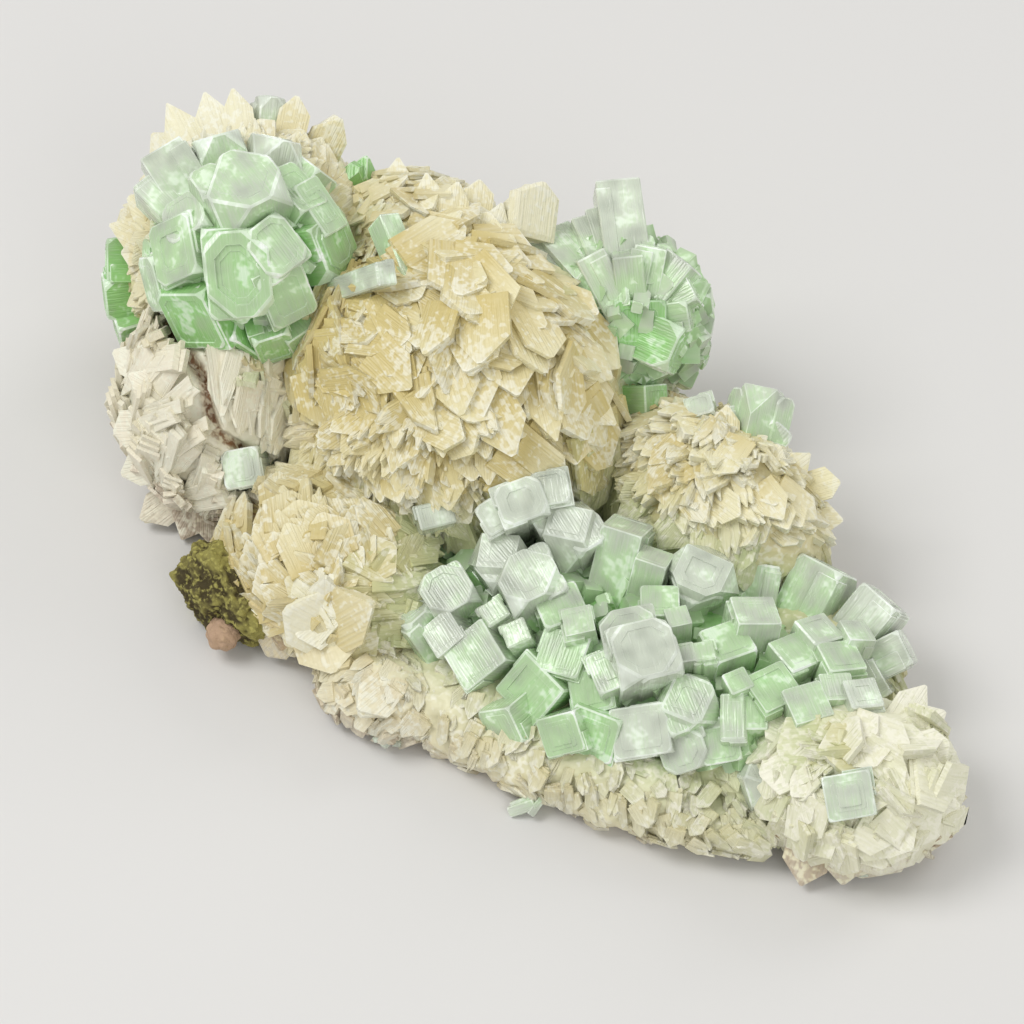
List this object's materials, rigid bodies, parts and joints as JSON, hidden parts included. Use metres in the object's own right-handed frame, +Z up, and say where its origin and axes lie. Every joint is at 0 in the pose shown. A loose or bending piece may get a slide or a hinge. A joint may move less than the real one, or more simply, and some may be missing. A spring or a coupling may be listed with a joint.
{
  "type": "apophyllite specimen",
  "caption": "Mineral specimen: blocky green apophyllite crystals in a ball, a fan and a druse on domed cream stilbite, with basalt, resting on a flat cut.",
  "frame": {"origin": "bottom centre of the bounding box, on the flat cut that the specimen rests on", "axes": "+X along the specimen's length towards its low end, +Y towards its back, +Z up from the cut"},
  "size_m": [0.1536, 0.0846, 0.0523],
  "materials": {
    "stilbite": "pearly crystal faces, cream to peach",
    "apophyllite": "glassy crystal faces, clear to pale green",
    "basalt": "rough, dull, olive brown"
  },
  "bodies": {
    "root": {"stilbite_crust": "stilbite", "basalt_lump": "basalt", "apophyllite_ball": "apophyllite", "apophyllite_fan": "apophyllite", "apophyllite_druse": "apophyllite", "apophyllite_valley": "apophyllite", "apophyllite_edge": "apophyllite", "apophyllite_spur": "apophyllite", "apophyllite_saddle": "apophyllite", "apophyllite_spur_small": "apophyllite", "apophyllite_crown": "apophyllite", "apophyllite_point": "apophyllite", "apophyllite_leaning": "apophyllite", "apophyllite_prism": "apophyllite", "apophyllite_wall": "apophyllite", "apophyllite_pale": "apophyllite", "apophyllite_rounded": "apophyllite", "apophyllite_end": "apophyllite"}
  },
  "joints": []
}
